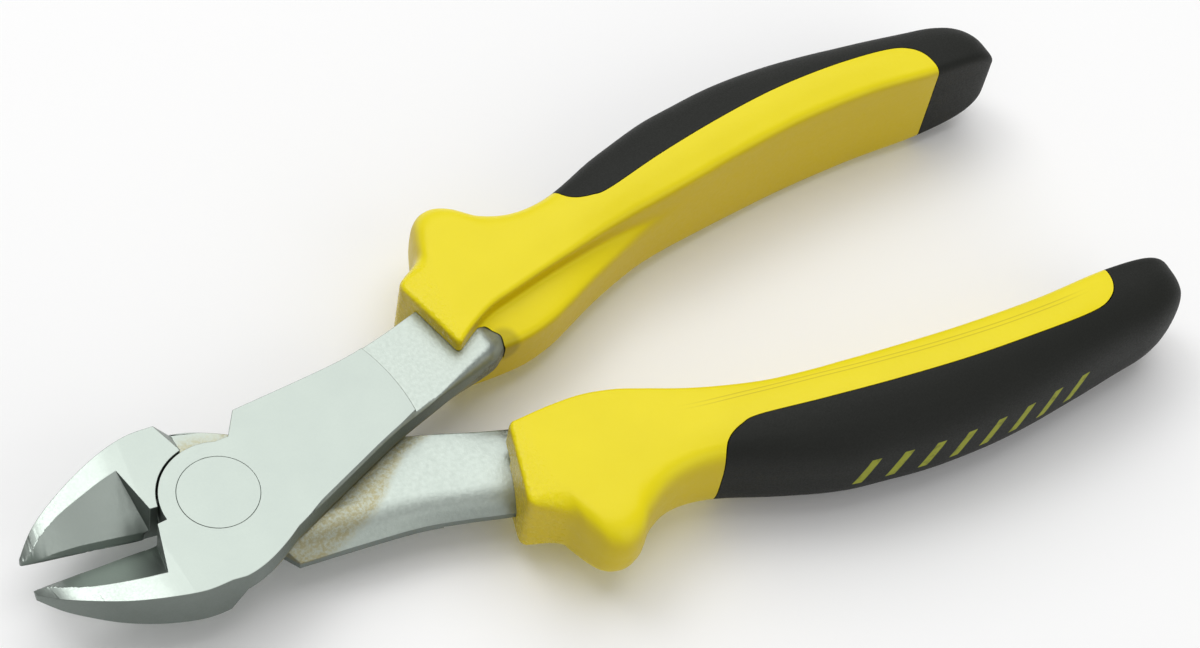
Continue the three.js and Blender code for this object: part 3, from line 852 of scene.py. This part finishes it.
def back_half_axes(tree, position):
    """Part coordinates as x and y of the back half's own frame, which undoes place()."""
    x, y, _ = position
    turn = math.radians(JAW_OPENING / 2)
    c, s = math.cos(turn), math.sin(turn)
    own_x = minus(tree, times(tree, x, c), times(tree, y, s))
    own_y = plus(tree, times(tree, x, -s), times(tree, y, -c))
    return own_x, own_y


def grime(tree, position, mottle):
    """Share of brown grime: above the disc beside the step, and along the back half's root."""
    x, y, z = position
    radius = maths(tree, "SQRT", plus(tree, times(tree, x, x), times(tree, y, y)))
    level = times(tree, between(tree, z, 5.4, 5.0), between(tree, z, 1.0, 1.6))
    beside = times(tree, between(tree, radius, 15, 11), between(tree, y, 7, 9))
    own_x, own_y = back_half_axes(tree, position)
    dx, dy = minus(tree, own_x, STAIN_AT[0]), minus(tree, own_y, STAIN_AT[1])
    run = minus(tree, times(tree, dx, STAIN_COS), times(tree, dy, STAIN_SIN))
    beyond = plus(tree, times(tree, dx, STAIN_SIN), times(tree, dy, STAIN_COS))
    reach = between(tree, run, 12, 27, 1.8, -3.4)
    ragged = plus(tree, minus(tree, reach, beyond), times(tree, mottle, 0.8))
    root = times(tree, between(tree, ragged, -0.8, 1.2), between(tree, radius, 11, 14))
    root = times(tree, root, between(tree, own_x, 3, 6))
    share = times(tree, maths(tree, "MAXIMUM", beside, root), level)
    return times(tree, share, between(tree, mottle, 0.35, 0.62, 0.25, 0.85))


def smudge(tree, position, mottle):
    """Share of the dark marks where the tangs enter the grips."""
    z = position[2]
    own_x, _ = back_half_axes(tree, position)
    band = times(tree, between(tree, own_x, 46.2, 48.6), between(tree, z, 6.5, 5.9))
    return times(tree, band, between(tree, mottle, 0.38, 0.56, 0.0, 0.85))


@cache
def yellow_plastic():
    """Moulded yellow plastic: painted darker and more orange on its upright sides as shade, glossy and
    scuffed at the mouth, with mould lines.
    """
    material, tree, shader = new_material("yellow_plastic")
    place_mm = millimetres(tree)
    position = axes(tree, place_mm)
    normal = axes(tree, add(tree, "ShaderNodeTexCoord").outputs["Normal"])
    # upright: share of the painted side shade, greatest where the surface stands upright
    upright = between(tree, size(tree, normal[2]), 0.75, 0.15)
    clouds = noise(tree, place_mm, 0.09, 3)
    top = mix(tree, clouds, colour(230, 212, 6), colour(238, 221, 14))
    # painted shade: the upright sides get a darker, more orange copy of the yellow
    base = mix(tree, upright, top, colour(206, 182, 0))
    lines = mould_lines(tree, position)
    base = mix(tree, times(tree, lines, 0.45), base, colour(176, 152, 6))
    # brownish painted shade round the end of the notch
    base = mix(tree, notch_shade(tree, place_mm), base, colour(104, 86, 30))
    tree.links.new(base, shader.inputs["Base Color"])
    grain = noise(tree, place_mm, 1.4, 3)
    lip = between(tree, position[0], 50.5, 45.5)
    rough = minus(tree, between(tree, grain, 0.3, 0.7, 0.34, 0.44), times(tree, lip, 0.14))
    tree.links.new(rough, shader.inputs["Roughness"])
    waves = bump(tree, noise(tree, place_mm, 0.35, 2), 0.5, 0.12 * MM)
    scuffs = bump(tree, times(tree, noise(tree, place_mm, 0.9, 3), lip), 0.8, 0.35 * MM, waves)
    pits = bump(tree, grain, 0.12, 0.05 * MM, scuffs)
    tree.links.new(bump(tree, lines, -0.5, 0.06 * MM, pits), shader.inputs["Normal"])
    shader.inputs["Specular IOR Level"].default_value = 0.3
    return material


def mould_lines(tree, position):
    """Two fine lines that follow the ridge of the back handle's strip."""
    own_x, own_y = back_half_axes(tree, position)
    ridge = add(tree, "ShaderNodeFloatCurve", {"Value": over(tree, own_x, GRIP_END)})
    curve = ridge.mapping.curves[0]
    curve.points[0].location = (0.0, RIDGE_Y[0][1] / GRIP_END)
    curve.points[1].location = (1.0, RIDGE_Y[-1][1] / GRIP_END)
    for x, y in RIDGE_Y[1:-1]:
        curve.points.new(x / GRIP_END, y / GRIP_END)
    ridge.mapping.update()
    ridge_y = times(tree, ridge.outputs[0], GRIP_END)
    offset = minus(tree, own_y, ridge_y)
    first, second = [between(tree, size(tree, plus(tree, offset, inwards)), 0.17, 0.05)
                     for inwards in MOULD_LINES]
    ends = times(tree, between(tree, own_x, 72, 84), between(tree, own_x, 150, 140))
    upper = between(tree, position[2], 11, 12)
    return times(tree, maths(tree, "MAXIMUM", first, second), times(tree, ends, upper))


def notch_shade(tree, place_mm):
    """Share of the brownish painted shade round the end of the notch, where the front tang goes in."""
    centre = place([[NOTCH_END, NOTCH_SHADE_Y, (NOTCH_LOW + NOTCH_HIGH) / 2]], 1)[0] / MM
    reach = add(tree, "ShaderNodeVectorMath", {0: place_mm, 1: centre}, operation="DISTANCE")
    return between(tree, reach.outputs["Value"], 3.6, 2.2, 0.0, 0.4)


@cache
def black_rubber():
    """Soft matt rubber, with a printed row of slanted strokes on the back handle."""
    material, tree, shader = new_material("black_rubber")
    place_mm = millimetres(tree)
    clouds = noise(tree, place_mm, 0.12, 3)
    base = mix(tree, clouds, colour(17, 19, 15), colour(23, 25, 20))
    worn = noise(tree, place_mm, 0.7, 4)
    printed = times(tree, strokes(tree, axes(tree, place_mm)), between(tree, worn, 0.3, 0.5, 0.6, 0.95))
    tree.links.new(mix(tree, printed, base, colour(150, 155, 42)), shader.inputs["Base Color"])
    grain = noise(tree, place_mm, 3.5, 3)
    tree.links.new(between(tree, grain, 0.3, 0.7, 0.55, 0.68), shader.inputs["Roughness"])
    tree.links.new(bump(tree, grain, 0.3, 0.06 * MM), shader.inputs["Normal"])
    shader.inputs["Specular IOR Level"].default_value = 0.28
    return material


def strokes(tree, position):
    """A row of slanted strokes on the outer side of the back handle, in place of the print."""
    own_x, own_y = back_half_axes(tree, position)
    height = minus(tree, position[2], FACE)
    slanted = minus(tree, own_x, times(tree, height, STROKE_SLANT))
    phase = maths(tree, "FRACT", over(tree, minus(tree, slanted, STROKES_FROM), STROKE_PITCH))
    across = size(tree, minus(tree, phase, 0.5))
    outer, inner = (STROKE_WIDTH / 2 + 0.1) / STROKE_PITCH, (STROKE_WIDTH / 2 - 0.1) / STROKE_PITCH
    stroke = between(tree, across, outer, inner)
    row = times(tree, between(tree, slanted, STROKES_FROM, STROKES_FROM + 0.2),
                between(tree, slanted, STROKES_TO, STROKES_TO - 0.2))
    band = times(tree, between(tree, height, STROKE_LOW, STROKE_LOW + 0.2),
                 between(tree, height, STROKE_HIGH, STROKE_HIGH - 0.2))
    outside = between(tree, own_y, 22, 24)
    return times(tree, times(tree, stroke, row), times(tree, band, outside))


@cache
def pale_floor():
    """Pale floor with faint clouds in its shade."""
    material, tree, shader = new_material("pale_floor")
    clouds = noise(tree, millimetres(tree), 0.01, 2)
    shade = mix(tree, clouds, (0.93, 0.93, 0.93, 1), (0.95, 0.95, 0.95, 1))
    tree.links.new(shade, shader.inputs["Base Color"])
    shader.inputs["Roughness"].default_value = 0.9
    return material


# ---------------------------------------------------------------- stage
def floor(height):
    """The stage's floor at this height."""
    half = FLOOR_HALF
    corners = [(-half, -half, height), (half, -half, height), (half, half, height), (-half, half, height)]
    obj = new_object("floor", corners, [(0, 1, 2, 3)])
    obj.data.materials.append(pale_floor())


def softbox(name, at, diameter, power):
    """A round soft light that faces the lit point."""
    light = bpy.data.lights.new(name, "AREA")
    light.shape = "DISK"
    light.size = diameter
    light.energy = power
    obj = bpy.data.objects.new(name, light)
    obj.location = Vector(at)
    obj.rotation_euler = (Vector(LIT_POINT) - Vector(at)).to_track_quat("-Z", "Y").to_euler()
    bpy.context.scene.collection.objects.link(obj)


def lighting():
    """White surroundings and the soft lights."""
    world = bpy.data.worlds.new("studio")
    world.use_nodes = True
    background = world.node_tree.nodes["Background"]
    background.inputs["Color"].default_value = (1, 1, 1, 1)
    background.inputs["Strength"].default_value = WORLD_LIGHT
    bpy.context.scene.world = world
    for name, (at, diameter, power) in SOFTBOXES.items():
        softbox(name, at, diameter, power)


def camera():
    """The scene's camera, looking down on the pliers from beyond the jaws."""
    at, target = Vector(CAMERA_AT) * MM, Vector(CAMERA_TARGET) * MM
    data = bpy.data.cameras.new("camera")
    data.lens = CAMERA_LENS
    data.sensor_width = SENSOR_WIDTH
    data.clip_start = 0.01
    obj = bpy.data.objects.new("camera", data)
    facing = (target - at).to_track_quat("-Z", "Y")
    roll = Quaternion((0, 0, 1), math.radians(CAMERA_ROLL))
    obj.matrix_world = Matrix.Translation(at) @ (facing @ roll).to_matrix().to_4x4()
    bpy.context.scene.collection.objects.link(obj)
    bpy.context.scene.camera = obj


def corners_of(bounds):
    """Bounds as plain lists of numbers."""
    return [list(map(float, corner)) for corner in bounds]


def main():
    for obj in list(bpy.data.objects):
        bpy.data.objects.remove(obj)
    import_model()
    cad_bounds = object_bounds()
    forged_half("front", 1)
    forged_half("back", -1)
    rivet()
    grip("front", 1)
    grip("back", -1)
    floor(min(corner[2] for corner in corners_of(cad_bounds)))
    lighting()
    camera()
    bpy.context.scene.view_settings.view_transform = "Standard"


main()
